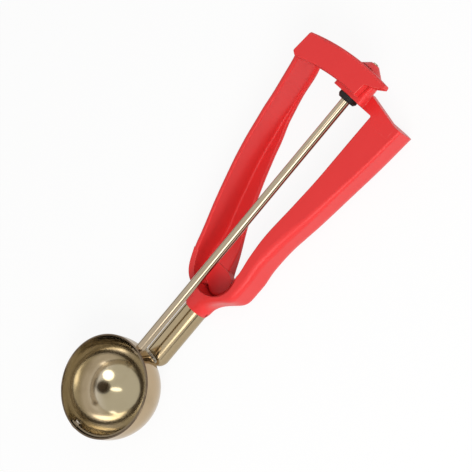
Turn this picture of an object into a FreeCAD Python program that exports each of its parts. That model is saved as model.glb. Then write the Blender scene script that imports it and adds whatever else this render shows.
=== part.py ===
import FreeCAD, Part
import math
import os

# Lever ice cream scoop, in millimetres.
# While it is built, the middle of the bowl's half sphere is the zero point, +X runs along the
# drive rod towards the head, +Y points to the squeeze lever and +Z out of the bowl's mouth.
# At the end everything moves so that the zero point is the middle of the box's underside.

V = FreeCAD.Vector
X_AXIS = V(1, 0, 0)
Y_AXIS = V(0, 1, 0)
Z_AXIS = V(0, 0, 1)

# Bowl: a stamped half sphere of two inches inside, with a short straight band to the rim
BOWL_INNER_R = 25.4
BOWL_WALL = 0.9
BOWL_OUTER_R = BOWL_INNER_R + BOWL_WALL
BAND_HEIGHT = 4.4

# Drive rod: three sixteenths of an inch, through the bowl's wall and up into the head, where a
# thinner tip runs in the dome and its shoulder keeps the rod from moving on
ROD_R = 2.38
ROD_FIT = 0.05
ROD_SHOULDER_X = 201.0
ROD_TIP_R = 1.4
ROD_END_X = 206.6
ROD_CHAMFER = 0.3
TENON_R = 1.6

# Scraper blade: a thin strip that hugs the bowl from pivot to pivot
BLADE_GAP = 0.3
BLADE_THICKNESS = 0.8
BLADE_WIDTH = 6.0
BLADE_EYE_R = 3.9
BLADE_OUTER_R = BOWL_INNER_R - BLADE_GAP
BLADE_INNER_R = BLADE_OUTER_R - BLADE_THICKNESS

# Tip pivot: a rivet that turns in the bowl's wall across from the rod
TIP_PIN_R = 1.55
TIP_NECK_R = 1.3
TIP_HEAD_R = 2.9
TIP_HEAD_HEIGHT = 0.8
TIP_PEEN_R = 2.05

# Stem: half inch tube below the rod, with a closed round end against the bowl
STEM_R = 6.35
STEM_WALL = 0.9
STEM_DROP = 17.5
STEM_END_X = 19.4
STEM_END_ROUND = 6.0
SOCKET_X = 55.6
SPIGOT_X = 31.0

# Weld between the stem and the bowl: middle, reach and height of the bead
WELD_MIDDLE = V(23.4, 0, -12.2)
WELD_REACH = 4.7
WELD_HEIGHT = 1.1

# Plastic handle: the levels that both arms share
BASE_Z = -BOWL_OUTER_R
FRONT_Z = -6.0
WALL = 2.6

# Hinge of the lever, upright through the root of the handle
HINGE_X = 73.0
PIN_R = 2.0
PIN_HEAD_R = 3.6
PIN_HEAD_HEIGHT = 1.5
PIN_TOP_Z = -19.1
HINGE_FIT = 0.05
FLOOR_Z = BASE_Z + 3.8
FLOOR_END_X = 78.6

# Round pocket in the fixed handle that takes the root of the lever, with a bevelled rim
POCKET_X = 78.4
POCKET_R = 12.1
POCKET_RIM_Z = -8.0
POCKET_BEVEL = 3.0

# Hub of the lever on the hinge pin, level with the floor of the lever's root
HUB_R = 6.3
HUB_BOTTOM_Z = FLOOR_Z + 0.3
HUB_TOP_Z = -18.0
HUB_ROUND = 1.5

# Return spring, a torsion spring in a round well on the underside of the hub
SPRING_WIRE_R = 0.45
SPRING_COIL_R = 4.4
SPRING_TURNS = 2.25
SPRING_PITCH = 0.96
SPRING_BOTTOM_Z = HUB_BOTTOM_Z + 0.1 + SPRING_WIRE_R
SPRING_TOP_Z = SPRING_BOTTOM_Z + SPRING_TURNS * SPRING_PITCH
SPRING_LEG = 1.7
LEG_HOLE_R = SPRING_WIRE_R + 0.1
WELL_INNER_R = 3.4
WELL_OUTER_R = 5.4
WELL_DEPTH = 3.3

# Pinion on the rod and rack under the arm, both of module one
MODULE = 1.0
PINION_TEETH = 12
PITCH_R = MODULE * PINION_TEETH / 2
PINION_TIP_R = PITCH_R + 0.95 * MODULE
PINION_ROOT_R = PITCH_R - 1.25 * MODULE
PINION_X = 193.8
PINION_WIDTH = 5.2
PRESSURE_ANGLE = math.radians(20)
TOOTH_PLAY = 0.16
RACK_R = PINION_X - HINGE_X
RACK_TEETH_LEFT = 8
RACK_TEETH_RIGHT = 1
RACK_RUN_OUT_DEG = 0.4

# Rack arm: a curved bar centred on the hinge, in front of the head
ARM_FRONT_Z = 9.0
ARM_BACK_Z = 4.7
ARM_INNER_R = 189.5 - HINGE_X
ARM_OUTER_R = 203.1 - HINGE_X
ARM_CORNER_R = [0.5, 0.5, 1.4, 0.7]
RACK_ROOT_Z = PITCH_R + 1.25 * MODULE
RACK_TIP_Z = PITCH_R - 0.95 * MODULE
RACK_BAND = 2.8

# Outline that cuts the bar: x, y and corner radius, from the cut end round the barb to the lever
ARM_OUTLINE = [
    (180.0, -6.6, 0.5),
    (190.0, -6.5, 0.9),
    (196.2, -7.2, 0.8),
    (198.0, -12.6, 0.8),
    (200.2, -16.5, 0.6),
    (201.9, -16.2, 0.8),
    (206.0, -10.0, 0.5),
    (206.0, 33.4, 0.5),
    (198.5, 34.1, 0.8),
    (186.4, 35.4, 1.0),
    (183.0, 30.0, 0.5),
]

# Head of the fixed handle, a housing round the pinion with a dome over the rod's end
HEAD_X0 = 187.2
HEAD_X1 = 198.0
HEAD_SIDE_Y = 9.4
HEAD_FRONT_Z = 4.2
HEAD_BELLY_Y = 4.8
HEAD_BACK_Z = -8.4
HEAD_ROUNDS = [1.6, 3.0, 4.0, 4.0, 3.0, 1.6]
PINION_ROOM = 0.25
DOME_R = 6.9
DOME_SHOULDER_X = 202.2
DOME_TOP_X = 206.0
DOME_TOP_R = 2.2
DOME_ROUND = 1.5

# Black bushing that carries the rod below the head
BUSHING_FLANGE_R = 5.1
BUSHING_TAPER_R = 4.2
BUSHING_FLANGE = 2.9
BUSHING_TAPER = 1.2
BUSHING_SLEEVE_R = 3.7

# Neck between the grip's shoulder and the head
NECK_FRONT_Z = FRONT_Z + 0.04
NECK_BACK_Z = -11.5
NECK_OUTLINE = [
    (186.3, 4.0, 0.8),
    (186.3, -12.0, 1.2),
    (183.0, -15.0, 1.0),
    (183.0, -26.5, 1.0),
    (189.6, -26.5, 1.0),
    (194.4, -4.0, 1.0),
]

# Where the zero point of the finished part lies, seen from the middle of the bowl
ORIGIN = V(89.7, 3.9, BASE_Z)


def smooth(x, stations, column):
    """Value of one column of the stations at x, by a monotone cubic through them."""
    xs = [row[0] for row in stations]
    ys = [row[column] for row in stations]
    if x <= xs[0]:
        return ys[0]
    if x >= xs[-1]:
        return ys[-1]
    slopes = [(ys[i + 1] - ys[i]) / (xs[i + 1] - xs[i]) for i in range(len(xs) - 1)]
    tangents = [slopes[0]]
    for left, right in zip(slopes, slopes[1:]):
        tangents.append(0.0 if left * right <= 0 else 2 * left * right / (left + right))
    tangents.append(slopes[-1])
    i = max(k for k in range(len(xs) - 1) if xs[k] <= x)
    width = xs[i + 1] - xs[i]
    t = (x - xs[i]) / width
    return (
        (2 * t**3 - 3 * t**2 + 1) * ys[i]
        + (t**3 - 2 * t**2 + t) * width * tangents[i]
        + (3 * t**2 - 2 * t**3) * ys[i + 1]
        + (t**3 - t**2) * width * tangents[i + 1]
    )


def rounded_wire(corners, radii):
    """Closed wire through the corners, each one turned with its own radius."""
    count = len(corners)
    starts, mids, ends = [], [], []
    for i, corner in enumerate(corners):
        before = corners[i - 1] - corner
        after = corners[(i + 1) % count] - corner
        before.normalize()
        after.normalize()
        half = before.getAngle(after) / 2
        bisector = before + after
        bisector.normalize()
        starts.append(corner + before * (radii[i] / math.tan(half)))
        ends.append(corner + after * (radii[i] / math.tan(half)))
        mids.append(corner + bisector * (radii[i] / math.sin(half) - radii[i]))
    edges = []
    for i in range(count):
        edges.append(Part.Arc(starts[i], mids[i], ends[i]).toShape())
        edges.append(Part.LineSegment(ends[i], starts[(i + 1) % count]).toShape())
    return Part.Wire(edges)


def rounded_plate(outline, z_low, z_high):
    """Flat solid between two levels; each row of the outline is x, y and corner radius."""
    wire = rounded_wire([V(x, y, z_low) for x, y, radius in outline], [row[2] for row in outline])
    return Part.Face(wire).extrude(V(0, 0, z_high - z_low))


def curve(points, z):
    """Smooth edge through flat points at one level."""
    line = Part.BSplineCurve()
    line.interpolate([V(x, y, z) for x, y in points])
    return line.toShape()


def straight(points, z):
    return [
        Part.LineSegment(V(*start, z), V(*end, z)).toShape() for start, end in zip(points, points[1:])
    ]


def loft_along(section, x0, x1, steps):
    """Smooth solid through evenly spaced sections."""
    return Part.makeLoft([section(x0 + (x1 - x0) * i / steps) for i in range(steps + 1)], True, False)


def rod_along_x(radius, x0, x1, z=0.0):
    return Part.makeCylinder(radius, x1 - x0, V(x0, 0, z), X_AXIS)


def post(radius, z0, z1, x=HINGE_X):
    return Part.makeCylinder(radius, z1 - z0, V(x, 0, z0), Z_AXIS)


def ring_sector(profile, from_deg, to_deg):
    """Profile in radius and height, swept round the hinge; angles count from +X towards +Y."""
    face = Part.Face(profile)
    face.translate(V(HINGE_X, 0, 0))
    face.rotate(V(HINGE_X, 0, 0), Z_AXIS, from_deg)
    return face.revolve(V(HINGE_X, 0, 0), Z_AXIS, to_deg - from_deg)


# Bowl and stem


def make_bowl():
    inner, outer, rim = BOWL_INNER_R, BOWL_OUTER_R, BAND_HEIGHT
    slope = math.sqrt(0.5)
    lip = rim - BOWL_WALL / 2
    middle_r = (inner + outer) / 2
    profile = Part.Wire(
        [
            Part.Arc(V(0, 0, -outer), V(outer * slope, 0, -outer * slope), V(outer, 0, 0)).toShape(),
            Part.LineSegment(V(outer, 0, 0), V(outer, 0, lip)).toShape(),
            Part.Arc(V(outer, 0, lip), V(middle_r, 0, rim), V(inner, 0, lip)).toShape(),
            Part.LineSegment(V(inner, 0, lip), V(inner, 0, 0)).toShape(),
            Part.Arc(V(inner, 0, 0), V(inner * slope, 0, -inner * slope), V(0, 0, -inner)).toShape(),
            Part.LineSegment(V(0, 0, -inner), V(0, 0, -outer)).toShape(),
        ]
    )
    bowl = Part.Face(profile).revolve(V(0, 0, 0), Z_AXIS, 360)
    rod_hole = rod_along_x(ROD_R + ROD_FIT, inner - 3, outer + 1)
    tip_hole = rod_along_x(TIP_PIN_R + ROD_FIT, -outer - 1, -inner + 3)
    return bowl.cut(rod_hole).cut(tip_hole)


def make_stem_tube():
    """Tube with a closed round end that nestles against the bowl."""
    z = -STEM_DROP
    inner_r = STEM_R - STEM_WALL
    body = rod_along_x(STEM_R, STEM_END_X, SOCKET_X, z)
    closed_end = [e for e in body.Edges if abs(e.BoundBox.XMax - STEM_END_X) < 0.01]
    body = body.makeFillet(STEM_END_ROUND, closed_end)
    round_x = STEM_END_X + STEM_WALL + inner_r
    hollow = rod_along_x(inner_r, round_x, SOCKET_X + 1, z)
    hollow = hollow.fuse(Part.makeSphere(inner_r, V(round_x, 0, z)))
    return body.cut(hollow).cut(Part.makeSphere(BOWL_OUTER_R))


def make_stem_weld():
    """Puddle of weld on the upper side of the stem's end, where it meets the bowl."""
    shell = Part.makeSphere(BOWL_OUTER_R + WELD_HEIGHT).cut(Part.makeSphere(BOWL_OUTER_R))
    puddle = shell.common(Part.makeSphere(WELD_REACH, WELD_MIDDLE))
    stem = rod_along_x(STEM_R, STEM_END_X, SOCKET_X, -STEM_DROP)
    closed_end = [e for e in stem.Edges if abs(e.BoundBox.XMax - STEM_END_X) < 0.01]
    return puddle.cut(stem.makeFillet(STEM_END_ROUND, closed_end))


# Rod, blade and pivots


def make_drive_rod():
    tenon_x = BLADE_INNER_R - 0.9
    rod = rod_along_x(ROD_R, BLADE_OUTER_R, ROD_SHOULDER_X)
    tip = rod_along_x(ROD_TIP_R, ROD_SHOULDER_X, ROD_END_X)
    far_end = [e for e in tip.Edges if abs(e.BoundBox.XMin - ROD_END_X) < 0.01]
    rod = rod.fuse(tip.makeChamfer(ROD_CHAMFER, far_end))
    tenon = rod_along_x(TENON_R, tenon_x, BLADE_OUTER_R + 0.2)
    peened = Part.makeSphere(TENON_R + 1.0, V(tenon_x + 1.6, 0, 0))
    inside = rod_along_x(TENON_R + 0.8, tenon_x - 1.5, BLADE_INNER_R - 0.15)
    return rod.fuse(tenon).fuse(peened.common(inside)).removeSplitter()


def make_scraper_blade():
    """Strip of a ball's shell on the fixed handle's side, with a round eye at each pivot."""
    shell = Part.makeSphere(BLADE_OUTER_R).cut(Part.makeSphere(BLADE_INNER_R))
    reach = BOWL_OUTER_R
    strip = Part.makeBox(2 * reach, reach, BLADE_WIDTH, V(-reach, -reach, -BLADE_WIDTH / 2))
    eyes = rod_along_x(BLADE_EYE_R, -reach, reach)
    eyes = eyes.cut(rod_along_x(2 * BLADE_EYE_R, -0.6 * reach, 0.6 * reach))
    blade = shell.common(strip.fuse(eyes))
    tenon_hole = rod_along_x(TENON_R, 0, reach)
    tip_hole = rod_along_x(TIP_NECK_R, -reach, 0)
    return blade.cut(tenon_hole).cut(tip_hole)


def make_tip_pivot():
    """Rivet through the tip eye: small button outside the bowl, peened over inside."""
    outside_x = -BOWL_OUTER_R - 0.12
    shank = rod_along_x(TIP_PIN_R, outside_x, -BLADE_OUTER_R)
    neck = rod_along_x(TIP_NECK_R, -BLADE_OUTER_R, -BLADE_INNER_R + 0.2)
    button = rod_along_x(TIP_HEAD_R, outside_x - TIP_HEAD_HEIGHT, outside_x)
    outer_edge = [e for e in button.Edges if e.BoundBox.XMax < outside_x - 0.1]
    button = button.makeFillet(0.6 * TIP_HEAD_HEIGHT, outer_edge)
    peened = rod_along_x(TIP_PEEN_R, -BLADE_INNER_R + 0.15, -BLADE_INNER_R + 0.95)
    inner_edge = [e for e in peened.Edges if e.BoundBox.XMin > -BLADE_INNER_R + 0.5]
    peened = peened.makeFillet(0.5, inner_edge)
    return shank.fuse(neck).fuse(button).fuse(peened).removeSplitter()


# Fixed handle

# Stations of the grip: x, outer side, inner side, front level, corner radii front and back
GRIP_STATIONS = [
    (55.6, -6.35, 6.35, -11.15, 6.3, 6.3),
    (61.0, -7.0, 6.5, -9.9, 5.0, 6.4),
    (66.0, -9.4, 6.9, -8.2, 3.6, 7.0),
    (70.5, -14.6, 7.2, -7.1, 3.2, 8.5),
    (75.0, -18.0, 2.0, -6.5, 3.2, 9.5),
    (80.0, -19.4, -10.0, -6.1, 3.4, 9.5),
    (86.0, -19.4, -12.1, -6.0, 3.4, 9.5),
    (97.0, -18.6, -10.6, -6.0, 3.8, 9.5),
    (109.0, -19.6, -9.8, -6.0, 4.0, 9.5),
    (130.0, -23.1, -11.0, -6.0, 3.0, 10.0),
    (150.0, -25.7, -11.9, -6.0, 1.9, 10.0),
    (171.0, -28.3, -12.0, -6.0, 1.4, 10.0),
    (189.8, -30.0, -12.2, -6.0, 1.3, 10.0),
]
GRIP_BASE_STATIONS = [(55.6, -23.85), (61.0, -25.0), (68.0, BASE_Z)]
GRIP_STEPS = 24
SQUARE_FROM_X = 80.0
CHANNEL_X0 = 92.0
CHANNEL_X1 = 184.0
SMALL_ROUND = 0.6


def grip_section(x, inset=0.0, open_inner=False):
    row = [smooth(x, GRIP_STATIONS, column) for column in range(1, 6)]
    outer_y, inner_y, front_z, front_r, back_r = row
    left = inner_y + 2.0 if open_inner else inner_y
    right = outer_y + inset
    front = front_z - inset
    back = smooth(x, GRIP_BASE_STATIONS, 1) + inset
    room = (left - right) / 2 - 0.03
    front_r = min(max(front_r - inset, SMALL_ROUND), room)
    back_r = max(back_r - inset, SMALL_ROUND)
    if x > SQUARE_FROM_X or open_inner:
        inner_front_r = inner_back_r = SMALL_ROUND
        back_r = min(back_r, left - right - SMALL_ROUND - 0.1)
    else:
        inner_front_r = min(front_r, room)
        inner_back_r = min(back_r, room, STEM_R - 0.05)
        back_r = min(back_r, 2 * room - inner_back_r)
    corners = [V(x, left, front), V(x, right, front), V(x, right, back), V(x, left, back)]
    return rounded_wire(corners, [inner_front_r, front_r, back_r, inner_back_r])


def make_grip():
    """Skin of the fixed arm from the stem's socket to the shoulder, hollow towards the rod."""
    solid = loft_along(grip_section, GRIP_STATIONS[0][0], GRIP_STATIONS[-1][0], GRIP_STEPS)
    channel = loft_along(lambda x: grip_section(x, WALL, True), CHANNEL_X0, CHANNEL_X1, 10)
    return solid.cut(channel)


def make_root_pocket():
    """What the lever's root needs free in the fixed handle: a round pocket, open on its side."""
    pocket = post(POCKET_R, FLOOR_Z, ARM_FRONT_Z, POCKET_X)
    outer_r = POCKET_R + POCKET_BEVEL
    rim = Part.makeCone(POCKET_R, outer_r, POCKET_BEVEL, V(POCKET_X, 0, POCKET_RIM_Z))
    side = Part.makeBox(26, 20, ARM_FRONT_Z - FLOOR_Z, V(66.4, 5.5, FLOOR_Z))
    return pocket.fuse(rim).fuse(side)


def make_floor():
    """Plate below the pocket that carries the hinge pin."""
    disc = post(POCKET_R, BASE_Z, FLOOR_Z, POCKET_X)
    behind = Part.makeBox(30, 40, 10, V(FLOOR_END_X - 30, -20, BASE_Z - 1))
    return disc.common(behind)


def make_head():
    """Housing with upright sides at the front and a narrower belly behind."""
    outline = [
        V(HEAD_X0, HEAD_SIDE_Y, HEAD_FRONT_Z),
        V(HEAD_X0, HEAD_SIDE_Y, 0),
        V(HEAD_X0, HEAD_BELLY_Y, HEAD_BACK_Z),
        V(HEAD_X0, -HEAD_BELLY_Y, HEAD_BACK_Z),
        V(HEAD_X0, -HEAD_SIDE_Y, 0),
        V(HEAD_X0, -HEAD_SIDE_Y, HEAD_FRONT_Z),
    ]
    housing = Part.Face(rounded_wire(outline, HEAD_ROUNDS)).extrude(V(HEAD_X1 - HEAD_X0, 0, 0))
    return housing.fuse(make_dome())


def make_dome():
    """Cap over the rod's end, a short drum and a cone, flat where the arm sweeps past."""
    base_x = HEAD_X1 - 1
    outline = [
        V(base_x, 0, 0),
        V(base_x, 0, DOME_R),
        V(DOME_SHOULDER_X, 0, DOME_R),
        V(DOME_TOP_X, 0, DOME_TOP_R),
        V(DOME_TOP_X, 0, 0),
    ]
    dome = Part.Face(Part.makePolygon(outline + outline[:1])).revolve(V(0, 0, 0), X_AXIS, 360)
    shoulder = [e for e in dome.Edges if abs(e.BoundBox.XMax - DOME_SHOULDER_X) < 0.01]
    dome = dome.makeFillet(DOME_ROUND, [e for e in shoulder if e.BoundBox.XLength < 0.01])
    sweep_x = HINGE_X + ARM_OUTER_R + 0.35
    return dome.cut(Part.makeBox(sweep_x - base_x + 1, 40, 20, V(base_x - 1, -20, HEAD_FRONT_Z)))


def cut_head(handle):
    """Room for the pinion, open to the front on the lever's side, and the bores along the rod.

    On the other side the round room closes over the pinion, as a lip that it snaps under.
    """
    half = PINION_WIDTH / 2 + 0.2
    room_r = PINION_TIP_R + PINION_ROOM
    room = rod_along_x(room_r, PINION_X - half, PINION_X + half)
    window = Part.makeBox(2 * half, room_r, 10, V(PINION_X - half, 0, 0))
    sleeve = rod_along_x(BUSHING_SLEEVE_R, HEAD_X0 - 2, PINION_X)
    bore = rod_along_x(ROD_R + ROD_FIT, PINION_X, ROD_SHOULDER_X + 0.1)
    tip_bore = rod_along_x(ROD_TIP_R + ROD_FIT, PINION_X, DOME_TOP_X + 1)
    return handle.cut(room).cut(window).cut(sleeve).cut(bore).cut(tip_bore)


def make_fixed_handle():
    spigot = rod_along_x(STEM_R - STEM_WALL, SPIGOT_X, SOCKET_X + 2, -STEM_DROP)
    handle = make_grip().fuse(spigot).cut(make_root_pocket()).fuse(make_floor())
    neck = rounded_plate(NECK_OUTLINE, NECK_BACK_Z, NECK_FRONT_Z)
    handle = cut_head(handle.fuse(neck).fuse(make_head()))
    handle = handle.cut(post(PIN_R + HINGE_FIT, BASE_Z - 1, FLOOR_Z + 1))
    handle = handle.cut(post(PIN_HEAD_R + 0.15, BASE_Z - 1, BASE_Z + PIN_HEAD_HEIGHT + 0.2))
    leg_x = HINGE_X + SPRING_COIL_R
    return handle.cut(post(LEG_HOLE_R, FLOOR_Z - SPRING_LEG, FLOOR_Z + 1, leg_x))


# Squeeze lever

# Stations of the lever: x, outer side, front level, back level, width and height of back flange
LEVER_STATIONS = [
    (79.4, 17.1, -6.2, BASE_Z, 14.4, HUB_TOP_Z - BASE_Z),
    (84.0, 18.9, -6.0, BASE_Z, 13.9, 6.4),
    (91.0, 21.2, -6.0, BASE_Z, 12.6, 3.6),
    (97.0, 23.4, -6.0, BASE_Z, 11.3, 2.4),
    (104.0, 25.9, -6.0, BASE_Z, 10.0, 2.3),
    (117.0, 30.0, -6.0, BASE_Z, 8.5, 2.3),
    (130.0, 33.7, -6.0, BASE_Z, 7.1, 2.3),
    (144.0, 36.5, -5.8, BASE_Z, 5.2, 2.3),
    (158.0, 37.8, -4.3, -24.6, 2.6, 2.3),
    (171.5, 37.5, -0.8, -21.2, 1.3, 2.3),
    (182.0, 36.5, 3.5, -17.6, 1.2, 2.3),
    (190.0, 35.4, 7.6, -12.0, 1.2, 2.3),
    (198.0, 34.1, 8.7, -3.0, 1.2, 2.3),
]
LEVER_STEPS = 22
WEB = 3.0

# The wall that carries the web round the root, outer and inner side
ROOT_OUTER = [(66.9, 6.4), (68.7, 10.0), (71.7, 12.9), (75.4, 15.1), (80.4, 17.5)]
ROOT_INNER = [(80.4, 14.6), (76.8, 12.6), (73.6, 10.5), (71.1, 8.1), (69.6, 5.4)]
ROOT_FLOOR = [
    (66.9, 6.4),
    (69.0, 5.6),
    (70.0, 0.0),
    (73.4, -6.2),
    (76.6, -6.0),
    (79.6, -4.4),
    (81.0, -0.2),
    (80.4, 17.5),
]


def lever_section(x):
    row = [smooth(x, LEVER_STATIONS, column) for column in range(1, 6)]
    outer, front, back, flange, height = row
    web = outer - WEB
    lip = web - flange
    corners = [
        V(x, outer, front),
        V(x, outer, back),
        V(x, lip, back),
        V(x, lip, back + height),
        V(x, web, back + height),
        V(x, web, front),
    ]
    back_r = min(4.0, 0.6 * (WEB + flange))
    inner_r = min(1.0, 0.4 * flange)
    return rounded_wire(corners, [1.5, back_r, SMALL_ROUND, inner_r, inner_r, SMALL_ROUND])


def make_lever_root():
    """Wall round the root, the floor inside it and the hub on the hinge pin."""
    z = HUB_BOTTOM_Z
    wall_edges = [curve(ROOT_OUTER, z)] + straight([ROOT_OUTER[-1], ROOT_INNER[0]], z)
    wall_edges += [curve(ROOT_INNER, z)] + straight([ROOT_INNER[-1], ROOT_OUTER[0]], z)
    wall = Part.Face(Part.Wire(wall_edges)).extrude(V(0, 0, FRONT_Z - 0.3 - z))
    floor_wire = Part.Wire([curve(ROOT_OUTER, z)] + straight(ROOT_FLOOR, z))
    floor = Part.Face(floor_wire).extrude(V(0, 0, HUB_TOP_Z - z))
    hub = post(HUB_R, z, HUB_TOP_Z)
    top_edge = [e for e in hub.Edges if e.BoundBox.ZMin > HUB_TOP_Z - 0.1]
    return wall.fuse(floor).fuse(hub.makeFillet(HUB_ROUND, top_edge))


def rack_tooth(angle_deg):
    """Tapered tooth under the arm, its length along the arm's radius."""
    half_pitch_line = math.pi * MODULE / 4 - TOOTH_PLAY
    lean = math.tan(PRESSURE_ANGLE)
    half_tip = half_pitch_line - (PITCH_R - RACK_TIP_Z) * lean
    half_root = half_pitch_line + (RACK_ROOT_Z + 0.1 - PITCH_R) * lean
    x0 = PINION_X - RACK_BAND - 0.1
    outline = [
        V(x0, -half_tip, RACK_TIP_Z),
        V(x0, half_tip, RACK_TIP_Z),
        V(x0, half_root, RACK_ROOT_Z + 0.1),
        V(x0, -half_root, RACK_ROOT_Z + 0.1),
    ]
    tooth = Part.Face(Part.makePolygon(outline + outline[:1])).extrude(V(2 * RACK_BAND + 0.2, 0, 0))
    tooth.rotate(V(HINGE_X, 0, 0), Z_AXIS, angle_deg)
    return tooth


def profile_box(inner_r, outer_r, z0, z1):
    return [V(inner_r, 0, z0), V(outer_r, 0, z0), V(outer_r, 0, z1), V(inner_r, 0, z1)]


def make_rack_arm():
    """Curved bar with the rack beneath its lower half and a barb past its cut end."""
    section = profile_box(ARM_INNER_R, ARM_OUTER_R, ARM_BACK_Z, ARM_FRONT_Z)
    bar = ring_sector(rounded_wire(section, ARM_CORNER_R), -9, 18)
    bar = bar.common(rounded_plate(ARM_OUTLINE, ARM_BACK_Z - 1, ARM_FRONT_Z + 1))
    pitch_deg = math.degrees(math.pi * MODULE / RACK_R)
    from_deg = -(RACK_TEETH_RIGHT + 0.5) * pitch_deg - RACK_RUN_OUT_DEG
    to_deg = (RACK_TEETH_LEFT + 0.5) * pitch_deg
    groove = profile_box(RACK_R - RACK_BAND, RACK_R + RACK_BAND, ARM_BACK_Z - 1, RACK_ROOT_Z)
    bar = bar.cut(ring_sector(Part.makePolygon(groove + groove[:1]), from_deg, to_deg))
    for index in range(-RACK_TEETH_RIGHT, RACK_TEETH_LEFT + 1):
        bar = bar.fuse(rack_tooth(index * pitch_deg))
    return bar


def make_squeeze_lever():
    web = loft_along(lever_section, LEVER_STATIONS[0][0], LEVER_STATIONS[-1][0], LEVER_STEPS)
    lever = web.fuse(make_lever_root()).fuse(make_rack_arm())
    well = post(WELL_OUTER_R, HUB_BOTTOM_Z - 1, HUB_BOTTOM_Z + WELL_DEPTH)
    well = well.cut(post(WELL_INNER_R, HUB_BOTTOM_Z - 2, HUB_BOTTOM_Z + WELL_DEPTH + 1))
    lever = lever.cut(well)
    leg_start = V(HINGE_X, SPRING_COIL_R, SPRING_TOP_Z)
    leg_hole = Part.makeCylinder(LEG_HOLE_R, SPRING_LEG + 0.1, leg_start, Y_AXIS)
    return lever.cut(leg_hole).cut(post(PIN_R, HUB_BOTTOM_Z - 5, PIN_TOP_Z))


# Hinge pin and return spring


def make_hinge_pin():
    head_top = BASE_Z + PIN_HEAD_HEIGHT
    head = post(PIN_HEAD_R, BASE_Z + 0.2, head_top)
    rim = [e for e in head.Edges if e.BoundBox.ZMax < BASE_Z + 0.3]
    head = head.makeChamfer(0.4, rim)
    return head.fuse(post(PIN_R, head_top, PIN_TOP_Z)).removeSplitter()


def make_return_spring():
    """Torsion spring: one leg reaches down into the handle, one out into the lever's hub."""
    helix = Part.makeHelix(SPRING_PITCH, SPRING_TOP_Z - SPRING_BOTTOM_Z, SPRING_COIL_R)
    helix.translate(V(HINGE_X, 0, SPRING_BOTTOM_Z))
    start = V(HINGE_X + SPRING_COIL_R, 0, SPRING_BOTTOM_Z)
    end = V(HINGE_X, SPRING_COIL_R, SPRING_TOP_Z)
    section = Part.Wire(Part.makeCircle(SPRING_WIRE_R, start, Y_AXIS))
    spring = Part.Wire(helix).makePipeShell([section], True, True)
    for corner, direction in ((start, Z_AXIS * -1), (end, Y_AXIS)):
        spring = spring.fuse(Part.makeSphere(SPRING_WIRE_R, corner))
        spring = spring.fuse(Part.makeCylinder(SPRING_WIRE_R, SPRING_LEG, corner, direction))
    return spring


# Pinion and bushing


def make_pinion():
    """Gear of involute teeth, fixed on the rod."""
    base_r = PITCH_R * math.cos(PRESSURE_ANGLE)
    half_at_pitch = (math.pi * MODULE / 4 - TOOTH_PLAY) / PITCH_R
    roll_at_pitch = math.tan(PRESSURE_ANGLE) - PRESSURE_ANGLE

    def half_angle(radius):
        if radius <= base_r:
            return half_at_pitch + roll_at_pitch
        pressure = math.acos(base_r / radius)
        return half_at_pitch + roll_at_pitch - (math.tan(pressure) - pressure)

    radii = [PINION_ROOT_R, base_r, PITCH_R, PINION_TIP_R]
    x0 = PINION_X - PINION_WIDTH / 2
    points = []
    for tooth in range(PINION_TEETH):
        middle = 2 * math.pi * (tooth + 0.5) / PINION_TEETH + math.pi / 2
        flank = [(r, -half_angle(r)) for r in radii] + [(r, half_angle(r)) for r in reversed(radii)]
        points += [V(x0, r * math.cos(middle + a), r * math.sin(middle + a)) for r, a in flank]
    gear = Part.Face(Part.makePolygon(points + points[:1])).extrude(V(PINION_WIDTH, 0, 0))
    return gear.cut(rod_along_x(ROD_R, x0 - 1, x0 + PINION_WIDTH + 1))


def make_rod_bushing():
    flange_x = HEAD_X0 - BUSHING_FLANGE
    taper_end = flange_x + BUSHING_TAPER
    bushing = Part.makeCone(BUSHING_TAPER_R, BUSHING_FLANGE_R, BUSHING_TAPER, V(flange_x, 0, 0), X_AXIS)
    bushing = bushing.fuse(rod_along_x(BUSHING_FLANGE_R, taper_end, HEAD_X0))
    sleeve_end = PINION_X - PINION_WIDTH / 2 - 0.2
    bushing = bushing.fuse(rod_along_x(BUSHING_SLEEVE_R, HEAD_X0, sleeve_end)).removeSplitter()
    return bushing.cut(rod_along_x(ROD_R + ROD_FIT, flange_x - 1, sleeve_end + 1))


NODES = {
    "bowl": make_bowl,
    "stem_tube": make_stem_tube,
    "stem_weld": make_stem_weld,
    "drive_rod": make_drive_rod,
    "scraper_blade": make_scraper_blade,
    "tip_pivot": make_tip_pivot,
    "fixed_handle": make_fixed_handle,
    "squeeze_lever": make_squeeze_lever,
    "hinge_pin": make_hinge_pin,
    "return_spring": make_return_spring,
    "pinion": make_pinion,
    "rod_bushing": make_rod_bushing,
}


def main():
    os.makedirs("parts", exist_ok=True)
    whole = FreeCAD.BoundBox()
    for node, make in NODES.items():
        shape = make()
        shape.translate(ORIGIN * -1)
        shape.exportStep(f"parts/{node}.step")
        box = shape.optimalBoundingBox()
        whole.add(box)
        print(
            f"{node}: {len(shape.Solids)} solid, valid {shape.isValid()}, "
            f"{len(shape.Faces)} faces, volume {shape.Volume:.0f} mm3, "
            f"x {box.XMin:.1f} to {box.XMax:.1f}, y {box.YMin:.1f} to {box.YMax:.1f}, "
            f"z {box.ZMin:.1f} to {box.ZMax:.1f}"
        )
    middle = whole.Center
    print(f"whole {whole.XLength:.1f} x {whole.YLength:.1f} x {whole.ZLength:.1f} mm")
    print(f"middle of the box {middle.x:.2f}, {middle.y:.2f}, underside {whole.ZMin:.2f}")
    print(f"hinge axis at x {HINGE_X - ORIGIN.x:.3f}, y {-ORIGIN.y:.3f}")
    print(f"rod axis at y {-ORIGIN.y:.3f}, z {-ORIGIN.z:.3f}, blade follows lever by {RACK_R / PITCH_R:.4f}")


main()
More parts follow.
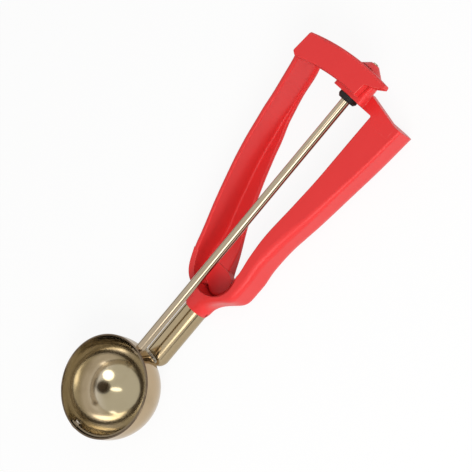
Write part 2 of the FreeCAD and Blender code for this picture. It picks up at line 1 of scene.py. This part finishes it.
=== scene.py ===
# %% [markdown]
# A lever ice cream scoop.
# The scoop has a round steel bowl with a scraper blade in it, a steel rod that turns the blade, and a
# red plastic handle whose sprung lever works the rod.
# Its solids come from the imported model, each one a piece of its own, and they already have the real
# outline. A mesh could be modelled afresh over them, but then two shapes would have to agree. So the
# lesson keeps them, and spends its work on what a solid can't have: the finish of each metal and
# plastic, and the light.

# %% Load the scoop
import math

import bpy
from mathutils import Matrix, Vector


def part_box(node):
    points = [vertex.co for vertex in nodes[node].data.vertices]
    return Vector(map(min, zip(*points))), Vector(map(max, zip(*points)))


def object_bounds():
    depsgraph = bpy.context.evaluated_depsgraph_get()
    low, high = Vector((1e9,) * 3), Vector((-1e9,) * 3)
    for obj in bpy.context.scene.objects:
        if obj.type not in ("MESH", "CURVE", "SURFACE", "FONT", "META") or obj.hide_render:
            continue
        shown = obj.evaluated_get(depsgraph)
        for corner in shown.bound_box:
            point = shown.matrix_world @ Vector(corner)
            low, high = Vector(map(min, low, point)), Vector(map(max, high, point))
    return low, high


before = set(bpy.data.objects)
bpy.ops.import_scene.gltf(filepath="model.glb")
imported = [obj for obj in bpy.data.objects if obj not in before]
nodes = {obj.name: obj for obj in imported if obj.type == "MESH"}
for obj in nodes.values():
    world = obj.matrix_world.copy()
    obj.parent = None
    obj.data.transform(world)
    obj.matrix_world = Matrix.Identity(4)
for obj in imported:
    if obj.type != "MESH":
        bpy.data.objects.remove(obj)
solid_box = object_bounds()

# %% [markdown]
# The photograph looks down on the scoop from the side of the fixed grip, with the rod running up to
# the right. The camera could be placed by hand until the outlines agree, but a long lens and a
# slanted view make that guesswork. Its place was found from the rod's two ends, the bowl's rim and the
# known size of the bowl. It is written as a point it looks at, a distance, two angles and a turn
# about its own axis of sight, which can be read and changed one at a time.

# %% The camera
LOOK_AT = Vector((0.01098, -0.00494, 0.0263))
DISTANCE = 0.62894
AZIMUTH = math.radians(20.70)
ELEVATION = math.radians(57.56)
ROLL = math.radians(-67.99)
PHOTO_PIXELS = 472
FOCAL_PIXELS = 1300
SENSOR = 36

back = Vector(
    (
        math.sin(AZIMUTH) * math.cos(ELEVATION),
        -math.cos(AZIMUTH) * math.cos(ELEVATION),
        math.sin(ELEVATION),
    )
)
camera = bpy.data.objects.new("camera", bpy.data.cameras.new("camera"))
bpy.context.scene.collection.objects.link(camera)
bpy.context.scene.camera = camera
camera.data.sensor_width = SENSOR
camera.data.lens = SENSOR * FOCAL_PIXELS / PHOTO_PIXELS
camera.location = LOOK_AT + back * DISTANCE
upright = (-back).to_track_quat("-Z", "Y").to_matrix()
camera.rotation_euler = (Matrix.Rotation(ROLL, 3, back) @ upright).to_euler()
print(f"lens {camera.data.lens:.1f} mm at {tuple(round(v, 4) for v in camera.location)}")

# %% [markdown]
# A finish is a net of shader nodes, and a long net is hard to read as calls that make and link one
# node each. So a socket is wrapped in a small class whose plus, minus and times signs add the Math
# nodes, and every other node comes from one method. A finish then reads as a sum: a base colour, plus
# a little speckle, minus what is worn off the edges.

# %% Shader sums


class Amount:
    """A number that varies over a surface, as the output of a node."""

    def __init__(self, finish, socket):
        self.finish = finish
        self.socket = socket

    def with_math(self, operation, first, second=0.0):
        return self.finish.node("ShaderNodeMath", {"operation": operation}, {0: first, 1: second})

    def __add__(self, other):
        return self.with_math("ADD", self, other)

    def __sub__(self, other):
        return self.with_math("SUBTRACT", self, other)

    def __mul__(self, other):
        return self.with_math("MULTIPLY", self, other)

    def __rsub__(self, other):
        return self.with_math("SUBTRACT", other, self)

    __radd__ = __add__
    __rmul__ = __mul__

    def power(self, exponent):
        return self.with_math("POWER", self, exponent)

    def limited(self):
        """The same amount, kept between 0 and 1."""
        return self.finish.node("ShaderNodeClamp", {}, {"Value": self})


class Finish:
    """One material and the nodes in it."""

    def __init__(self, name):
        self.material = bpy.data.materials.new(name)
        self.material.use_nodes = True
        self.tree = self.material.node_tree
        self.tree.nodes.clear()

    def node(self, kind, settings, sockets, output=0):
        """A node with its settings made first, then the values or links of its sockets."""
        made = self.tree.nodes.new(kind)
        for name, value in settings.items():
            setattr(made, name, value)
        for name, value in sockets.items():
            if isinstance(value, Amount):
                self.tree.links.new(value.socket, made.inputs[name])
            else:
                made.inputs[name].default_value = value
        return Amount(self, made.outputs[output]) if made.outputs else None

    def place(self):
        """Where a point of the surface is, in metres."""
        return self.node("ShaderNodeTexCoord", {}, {}, output="Object")

    def moved(self, centre=(0, 0, 0), scale=(1, 1, 1)):
        """The place measured from a centre and stretched along each axis."""
        shifted = self.node("ShaderNodeVectorMath", {"operation": "SUBTRACT"}, {0: self.place(), 1: centre})
        return self.node("ShaderNodeVectorMath", {"operation": "MULTIPLY"}, {0: shifted, 1: scale})

    def part_of(self, vector, axis):
        return self.node("ShaderNodeSeparateXYZ", {}, {0: vector}, output=axis)

    def speckle(self, vector, scale, detail=2.0, roughness=0.5):
        """Smooth noise between 0 and 1."""
        sockets = {"Vector": vector, "Scale": scale, "Detail": detail, "Roughness": roughness}
        return self.node("ShaderNodeTexNoise", {}, sockets)

    def between(self, amount, low, high):
        """0 where the amount is below low and 1 where it is above high, smooth between them."""
        sockets = {"Value": amount, "From Min": low, "From Max": high}
        return self.node("ShaderNodeMapRange", {"interpolation_type": "SMOOTHSTEP"}, sockets)

    def mixed(self, amount, first, second):
        """The first colour where the amount is 0 and the second where it is 1."""
        first, second = [c if isinstance(c, Amount) else (*c, 1) for c in (first, second)]
        sockets = {"Factor": amount, 6: first, 7: second}
        return self.node("ShaderNodeMix", {"data_type": "RGBA"}, sockets, output=2)

    def bump(self, height, distance, strength=1.0, on=None):
        sockets = {"Height": height, "Distance": distance, "Strength": strength}
        if on is not None:
            sockets["Normal"] = on
        return self.node("ShaderNodeBump", {}, sockets)

    def rounded_edge(self, radius):
        """The surface's direction, with its sharp edges turned by this radius."""
        return self.node("ShaderNodeBevel", {"samples": 6}, {"Radius": radius})

    def edge(self, radius):
        """1 on sharp edges, 0 on the flats."""
        true_side = self.node("ShaderNodeNewGeometry", {}, {}, output="Normal")
        sides = {0: self.rounded_edge(radius), 1: true_side}
        likeness = self.node("ShaderNodeVectorMath", {"operation": "DOT_PRODUCT"}, sides, output="Value")
        return self.between(1 - likeness, 0.01, 0.22)

    def surface(self, sockets):
        """Ends the net in the surface's own shader."""
        shader = self.node("ShaderNodeBsdfPrincipled", {}, sockets)
        self.node("ShaderNodeOutputMaterial", {}, {"Surface": shader})
        return self.material


def wear(node_names, material):
    """Gives the solids a finish."""
    for node_name in node_names:
        slots = nodes[node_name].material_slots
        for slot in slots:
            slot.material = material
        print(node_name, "now has the finish", material.name)


def from_hex(text):
    """A colour as it is seen, such as e24745, in the numbers that a shader takes."""
    seen = [int(text[i : i + 2], 16) / 255 for i in (0, 2, 4)]
    return tuple(v / 12.92 if v <= 0.04045 else ((v + 0.055) / 1.055) ** 2.4 for v in seen)


# %% [markdown]
# The handle and the lever are moulded in one red plastic with a half gloss. On the real scoop the
# faces are not quite even: the skin has a very fine grain from the mould, broad hollows where the
# plastic shrank over a thick place, and rubbed patches that shine a little more. The edges are paler,
# partly from wear and partly a painted highlight along the rounded edges, and round the hinge the red
# is painted darker, a painted shade for the deep pocket there. A single red would look like paint on
# screen, so each of these is a small amount added to the colour, the roughness or the relief.

# %% The red plastic
RED = from_hex("de3332")
RED_DEEP = from_hex("cc292b")
# A pale red for worn scratches and for the painted highlight on the edges.
RED_WORN_AND_HIGHLIGHT = from_hex("f28074")
# The darker red painted round the hinge as shade.
RED_SHADE = from_hex("a01c22")
MOULDED_EDGE = 0.00045
PIN_LOW, PIN_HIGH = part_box("hinge_pin")
HINGE_AT = ((PIN_LOW.x + PIN_HIGH.x) / 2, (PIN_LOW.y + PIN_HIGH.y) / 2, 0)


def make_red_plastic():
    finish = Finish("moulded_red")
    place = finish.place()
    grain = finish.speckle(place, 2600, detail=2)
    cloud = finish.speckle(place, 42, detail=3, roughness=0.6)
    rubbed = finish.between(finish.speckle(place, 95, detail=4, roughness=0.65), 0.52, 0.78)
    scratches = finish.speckle(finish.moved(scale=(90, 1300, 1300)), 1.0, detail=3, roughness=0.7)
    scratched = finish.between(scratches, 0.66, 0.74) * rubbed
    # Paler edges: partly wear, partly a painted highlight on the rounded moulded edges.
    paler_edge = finish.edge(MOULDED_EDGE) * finish.between(finish.speckle(place, 260, detail=3), 0.25, 0.62)
    # Painted shade: near the hinge the red is darkened, standing in for the shadow deep in the pocket round
    # it.
    from_hinge = finish.moved(centre=HINGE_AT, scale=(1, 1, 0))
    far = finish.node("ShaderNodeVectorMath", {"operation": "LENGTH"}, {0: from_hinge}, output="Value")
    painted_hinge_shade = (1 - finish.between(far, 0.002, 0.010)) * 0.5
    colour = finish.mixed(cloud * 0.4, RED, RED_DEEP)
    colour = finish.mixed(paler_edge * 0.75 + scratched * 0.12, colour, RED_WORN_AND_HIGHLIGHT)
    colour = finish.mixed(painted_hinge_shade, colour, RED_SHADE)
    rough = 0.34 + cloud * 0.06 - rubbed * 0.07 + scratched * 0.12
    sink = finish.bump(cloud, 0.00025, 0.5, on=finish.rounded_edge(MOULDED_EDGE))
    skin = finish.bump(grain, 0.000012, 0.8, on=sink)
    sockets = {"Base Color": colour, "Roughness": rough, "Normal": skin, "Specular IOR Level": 0.36}
    return finish.surface(sockets)


wear(["fixed_handle", "squeeze_lever"], make_red_plastic())

# %% [markdown]
# The bowl is spun and polished steel. Polishing runs round it, so its marks are very fine rings about
# the upright axis. The metal has a warm cast, a trace of dried milk dulls it in soft clouds, and it
# carries hair scratches from the sink. The tube and the rod were drawn and polished lengthwise, so
# their marks run along them. One function ends all of these finishes, and takes the marks and the
# metal's colour. The bowl's inside is painted in zones by height: darker olive at the bottom, paler
# higher up and palest in a band below the rim, a painted reflection brightness that stands in for the
# light bouncing in the hollow. Its rim is painted dark, a painted dark line for the shade and dark
# reflection along the lip, and the blade's cut edge is dark.

# %% The polished steel
ROD_MIDDLE = (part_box("drive_rod")[0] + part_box("drive_rod")[1]) / 2
BOWL_LOW, BOWL_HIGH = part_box("bowl")
BOWL_AXIS = Vector(((BOWL_LOW.x + BOWL_HIGH.x) / 2, (BOWL_LOW.y + BOWL_HIGH.y) / 2, ROD_MIDDLE.z))
STEEL_OUTSIDE = (0.50, 0.38, 0.24)
# Colours of the bowl's inside: painted reflection brightness, paler up the wall and palest in a band below
# the rim.
STEEL_PAINTED_BRIGHT_BAND = (0.78, 0.72, 0.62)
STEEL_INSIDE = (0.60, 0.53, 0.42)
STEEL_BOTTOM = (0.40, 0.34, 0.22)
# A painted dark line on the rim, standing in for shade and dark reflection along the lip.
STEEL_RIM_PAINTED_DARK = (0.15, 0.11, 0.075)
STEEL_BLADE = (0.52, 0.44, 0.33)
STEEL_CUT = (0.20, 0.155, 0.10)
STEEL_ROD = (0.43, 0.35, 0.25)
STEEL_TUBE = (0.42, 0.33, 0.20)
STEEL_DULL = (0.30, 0.23, 0.13)
STEEL_BRIGHT = (0.66, 0.58, 0.46)
BOWL_INSIDE_R = 0.0254
BOWL_WALL = 0.0009
BOWL_RIM = BOWL_HIGH.z - BOWL_AXIS.z
# Heights where the painted paler zone and the painted bright band begin.
PAINTED_PALER_ZONE = (-0.80 * BOWL_INSIDE_R, -0.55 * BOWL_INSIDE_R)
PAINTED_BRIGHT_BAND_ZONE = (-0.40 * BOWL_INSIDE_R, -0.10 * BOWL_INSIDE_R)
BLADE_EDGE = 0.003  # the strip's upper edge, above the rod's line


def polished(finish, steel, marks, dullness, roughness):
    """Warm polished steel with its polishing marks, dulled places and bright hair scratches."""
    place = finish.place()
    dull = finish.between(finish.speckle(place, 60, detail=4, roughness=0.6), 0.45, 0.75) * dullness
    hair = finish.speckle(finish.moved(scale=(1500, 260, 900)), 1.0, detail=3, roughness=0.7)
    hairs = finish.between(hair, 0.64, 0.72)
    colour = finish.mixed(dull, steel, STEEL_DULL)
    colour = finish.mixed(hairs * 0.08, colour, STEEL_BRIGHT)
    rough = roughness + dull * 0.1 + hairs * 0.04 + marks * 0.04
    relief = finish.bump(dull, 0.00001, 0.3, on=finish.bump(marks, 0.000003, 0.3))
    return finish.surface({"Base Color": colour, "Metallic": 1.0, "Roughness": rough, "Normal": relief})


def make_spun_steel():
    finish = Finish("spun_steel")
    from_axis = finish.moved(centre=BOWL_AXIS)
    x = finish.part_of(from_axis, "X")
    y = finish.part_of(from_axis, "Y")
    height = finish.part_of(from_axis, "Z")
    radius = (x * x + y * y).power(0.5)
    across = finish.node("ShaderNodeCombineXYZ", {}, {"X": radius, "Y": height, "Z": 0.0})
    rings = finish.speckle(across, 2200, detail=2, roughness=0.6)
    below = finish.node("ShaderNodeMath", {"operation": "MINIMUM"}, {0: height, 1: 0.0})
    from_middle = (radius * radius + below * below).power(0.5)
    outside = finish.between(from_middle, BOWL_INSIDE_R + 0.3 * BOWL_WALL, BOWL_INSIDE_R + 0.7 * BOWL_WALL)
    # Painted reflection: the inside is painted paler higher up and palest in a band, darker at the bottom.
    painted_paler_upper = finish.between(height, *PAINTED_PALER_ZONE)
    painted_bright_band = finish.between(height, *PAINTED_BRIGHT_BAND_ZONE)
    inside = finish.mixed(painted_bright_band, finish.mixed(painted_paler_upper, STEEL_BOTTOM, STEEL_INSIDE), STEEL_PAINTED_BRIGHT_BAND)
    # The rim is painted dark, a painted dark line along the lip.
    rim = finish.between(height, BOWL_RIM - 0.6 * BOWL_WALL, BOWL_RIM - 0.4 * BOWL_WALL)
    steel = finish.mixed(rim, finish.mixed(outside, inside, STEEL_OUTSIDE), STEEL_RIM_PAINTED_DARK)
    return polished(finish, steel, rings, 0.35, 0.10)


def make_drawn_steel(name, steel, roughness):
    finish = Finish(name)
    lines = finish.speckle(finish.moved(scale=(18, 1900, 1900)), 1.0, detail=2, roughness=0.6)
    return polished(finish, steel, lines, 0.3, roughness)


def make_blade_steel():
    """Polished like the bowl, with the dark cut edge of the strip it was stamped from."""
    finish = Finish("blade_steel")
    height = finish.part_of(finish.moved(centre=BOWL_AXIS), "Z")
    lines = finish.speckle(finish.moved(scale=(300, 300, 1900)), 1.0, detail=2, roughness=0.6)
    cut = finish.between(height, BLADE_EDGE - 0.1 * BOWL_WALL, BLADE_EDGE - 0.02 * BOWL_WALL)
    return polished(finish, finish.mixed(cut, STEEL_BLADE, STEEL_CUT), lines, 0.35, 0.12)


wear(["bowl"], make_spun_steel())
wear(["scraper_blade"], make_blade_steel())
wear(["drive_rod"], make_drawn_steel("rod_steel", STEEL_ROD, 0.08))
wear(["stem_tube"], make_drawn_steel("tube_steel", STEEL_TUBE, 0.12))

# %% [markdown]
# The weld, the rivet, the pin and the spring are steel too, but none of them is polished. The weld
# is a puddle that froze, with ripples and a straw and brown cast from the heat. The rivet and the pin
# are satin from being turned and peened, and the spring is drawn wire with a grey bloom.

# %% The plain steels
WELD = (0.36, 0.32, 0.25)
WELD_HEAT = (0.09, 0.07, 0.05)
SATIN = (0.56, 0.51, 0.44)
SATIN_DARK = (0.34, 0.30, 0.25)
WIRE = (0.40, 0.39, 0.37)
WIRE_DARK = (0.20, 0.19, 0.18)


def plain_steel(name, light, dark, scale, depth, roughness):
    finish = Finish(name)
    place = finish.place()
    cloud = finish.speckle(place, scale, detail=4, roughness=0.65)
    dark_place = finish.between(cloud, 0.4, 0.7)
    colour = finish.mixed(dark_place * 0.8, light, dark)
    colour = finish.mixed(finish.edge(0.0002) * 0.6, colour, STEEL_BRIGHT)
    relief = finish.bump(cloud, depth, 0.8, on=finish.rounded_edge(0.00015))
    rough = roughness + dark_place * 0.15
    return finish.surface({"Base Color": colour, "Metallic": 1.0, "Roughness": rough, "Normal": relief})


wear(["stem_weld"], plain_steel("weld_steel", WELD, WELD_HEAT, 420, 0.0008, 0.16))
wear(["tip_pivot", "hinge_pin"], plain_steel("satin_steel", SATIN, SATIN_DARK, 900, 0.00002, 0.26))
wear(["return_spring"], plain_steel("wire_steel", WIRE, WIRE_DARK, 1500, 0.00002, 0.3))

# %% [markdown]
# The bushing and the pinion are a hard black plastic that runs without oil. It is nearly black, with
# a fine grain, grey rubbed edges and a half gloss where it is rubbed smooth.

# %% The black plastic
BLACK = from_hex("0d0b0a")
BLACK_RUBBED = from_hex("3c3733")


def make_black_plastic():
    finish = Finish("bearing_black")
    place = finish.place()
    grain = finish.speckle(place, 3000, detail=2)
    cloud = finish.speckle(place, 300, detail=3, roughness=0.6)
    paler_edge = finish.edge(0.0003) * finish.between(cloud, 0.3, 0.7)
    colour = finish.mixed(cloud * 0.15 + paler_edge * 0.5, BLACK, BLACK_RUBBED)
    rough = 0.40 + cloud * 0.12
    relief = finish.bump(grain, 0.00001, 0.7, on=finish.rounded_edge(0.0003))
    sockets = {"Base Color": colour, "Roughness": rough, "Normal": relief, "Specular IOR Level": 0.25}
    return finish.surface(sockets)


wear(["rod_bushing", "pinion"], make_black_plastic())

# %% [markdown]
# The photograph has a white ground. A sheet of white card would do it, lit until it clips, but that
# much light would bleach the plastic. Here the floor is an ordinary pale card that takes the scoop's
# shadow, and where the camera, the metal or anything clear looks at it, it is lifted most of the way
# to white. The world is white in the same way, and gives even light from all round.

# %% The floor and the world
WHITE = (1, 1, 1, 1)
FLOOR_CARD = (0.88, 0.88, 0.87, 1)
FLOOR_SIZE = 6.0
FLOOR_GAP = 0.0001  # keeps the floor clear of the scoop's flat underside
FLOOR_LIFT = 0.90
FLOOR_LIFT_IN_MIRRORS = 0.45
WORLD_LIGHT = (0.80, 0.79, 0.77)
WORLD_STRENGTH = 0.50


def seen(finish, by_camera, in_mirrors):
    """The first amount for the camera's rays, the second in a mirror or behind a clear piece."""
    camera_ray = finish.node("ShaderNodeLightPath", {}, {}, output="Is Camera Ray")
    mirror_ray = finish.node("ShaderNodeLightPath", {}, {}, output="Is Glossy Ray")
    clear_ray = finish.node("ShaderNodeLightPath", {}, {}, output="Is Transmission Ray")
    return (camera_ray * by_camera + mirror_ray * in_mirrors + clear_ray * in_mirrors).limited()


def make_floor():
    bpy.ops.mesh.primitive_plane_add(size=FLOOR_SIZE, location=(0, 0, solid_box[0].z - FLOOR_GAP))
    floor = bpy.context.object
    floor.name = "floor"
    finish = Finish("pale_card")
    card = finish.node("ShaderNodeBsdfDiffuse", {}, {"Color": FLOOR_CARD})
    white = finish.node("ShaderNodeEmission", {}, {"Color": WHITE, "Strength": 1.0})
    lift = seen(finish, FLOOR_LIFT, FLOOR_LIFT_IN_MIRRORS)
    both = finish.node("ShaderNodeMixShader", {}, {0: lift, 1: card, 2: white})
    finish.node("ShaderNodeOutputMaterial", {}, {"Surface": both})
    floor.data.materials.append(finish.material)


class WorldFinish(Finish):
    """The same nets, in the world."""

    def __init__(self, world):
        world.use_nodes = True
        self.tree = world.node_tree
        self.tree.nodes.clear()


def make_world():
    world = bpy.data.worlds.new("studio")
    bpy.context.scene.world = world
    finish = WorldFinish(world)
    even = finish.node("ShaderNodeBackground", {}, {"Color": (*WORLD_LIGHT, 1), "Strength": WORLD_STRENGTH})
    white = finish.node("ShaderNodeBackground", {}, {"Color": WHITE, "Strength": 1.0})
    both = finish.node("ShaderNodeMixShader", {}, {0: seen(finish, 1.0, 1.0), 1: even, 2: white})
    finish.node("ShaderNodeOutputWorld", {}, {"Surface": both})


make_floor()
make_world()

# %% [markdown]
# Two lamps light the scoop. The key stands low on the side of the fixed grip, where it reaches the
# inside of the lever between the arms, and a wide weak fill stands above the camera. A third from the
# far side would flatten the shadows that show how deep the arms are. Mirrors don't see the two lamps
# themselves. What mirrors see is set apart, in the next step, because a polished bowl shows the whole
# room and a lamp that is right for the plastic is too bright for it.

# %% The lamps
KEY_WAY = Vector((-0.05, -0.74, 0.67))
KEY_SIZE = 0.55
KEY_POWER = 6.8
FILL_AT = Vector((0.45, -0.60, 1.00))
FILL_SIZE = 1.2
FILL_POWER = 4.8
MIDDLE = Vector((0.0, 0.0, 0.02))


def add_lamp(name, at, shape, size, power):
    lamp = bpy.data.objects.new(name, bpy.data.lights.new(name, "AREA"))
    bpy.context.scene.collection.objects.link(lamp)
    lamp.data.shape = shape
    lamp.data.size = size
    lamp.data.energy = power
    lamp.location = at
    lamp.rotation_euler = (MIDDLE - at).to_track_quat("-Z", "Y").to_euler()
    lamp.visible_glossy = False
    print(name, "at", tuple(round(v, 2) for v in at), "with", power, "W")


add_lamp("key", BOWL_AXIS + KEY_WAY, "DISK", KEY_SIZE, KEY_POWER)
add_lamp("fill", FILL_AT, "SQUARE", FILL_SIZE, FILL_POWER)

# %% [markdown]
# In an all white room polished steel looks like white paint, because it shows nothing but the room. A
# photographer stands cards beside it, and their mirror images draw its dark and bright lines. The
# photograph tells where they stood: the bowl is a mirror of known size, so each spot in it gives one
# direction. Three bright cards give the round glint, the short bar beside it and the glow at the top
# of the bowl. A dark one behind the lens gives the dark spot, and two long low ones give the rod, the
# tube and the rim their dark edge. Only mirrors see them, and their borders fade, as things out of
# focus do.

# %% The cards that mirrors see
CARD_DARK = (0.11, 0.085, 0.065, 1)
CARD_LIGHT = (1, 0.99, 0.96, 1)
CARDS = {
    # name: way from the bowl, how far away, width and height, where it starts to fade, and its
    # brightness (none for a dark one)
    "glint_card": (KEY_WAY, 1.0, (0.50, 0.50), 0.7, 5.2),
    "bar_card": (Vector((0.19, -0.22, 0.95)), 1.0, (0.18, 0.60), 0.6, 4.2),
    "glow_card": (Vector((0.69, 0.50, 0.52)), 1.0, (0.42, 0.28), 0.5, 4.2),
    "lens_card": (Vector((0.44, -0.58, 0.68)), 0.95, (0.66, 0.70), 0.6, None),
    "low_card": (Vector((0.45, -0.90, 0.24)), 0.9, (1.9, 0.46), 0.7, None),
    "rim_card": (Vector((-0.55, 0.82, 0.13)), 0.4, (0.9, 0.16), 0.7, None),
}


def make_card_finish(name, solid_to, brightness):
    """A card that fades to clear at its border, glowing or dark inside."""
    finish = Finish(name)
    place = finish.moved(scale=(2, 2, 0))
    from_middle = finish.node("ShaderNodeVectorMath", {"operation": "LENGTH"}, {0: place}, output="Value")
    clear = finish.node("ShaderNodeBsdfTransparent", {}, {})
    if brightness is None:
        inside = finish.node("ShaderNodeBsdfDiffuse", {}, {"Color": CARD_DARK})
    else:
        inside = finish.node("ShaderNodeEmission", {}, {"Color": CARD_LIGHT, "Strength": brightness})
    faded = finish.between(from_middle, solid_to, 1.0)
    card = finish.node("ShaderNodeMixShader", {}, {0: faded, 1: inside, 2: clear})
    finish.node("ShaderNodeOutputMaterial", {}, {"Surface": card})
    return finish.material


def add_card(name, way, away, size, solid_to, brightness):
    bpy.ops.mesh.primitive_plane_add(size=1)
    card = bpy.context.object
    card.name = name
    card.scale = (*size, 1)
    card.location = BOWL_AXIS + way.normalized() * away
    card.rotation_euler = way.to_track_quat("Z", "Y").to_euler()
    card.data.materials.append(make_card_finish(name, solid_to, brightness))
    card.visible_camera = False
    card.visible_diffuse = False
    card.visible_shadow = False


for name, card_settings in CARDS.items():
    add_card(name, *card_settings)
print(len(CARDS), "cards stand round the scoop")

# %% [markdown]
# Last, the picture keeps the colours as they were written.

# %% Finish
bpy.context.scene.view_settings.view_transform = "Standard"
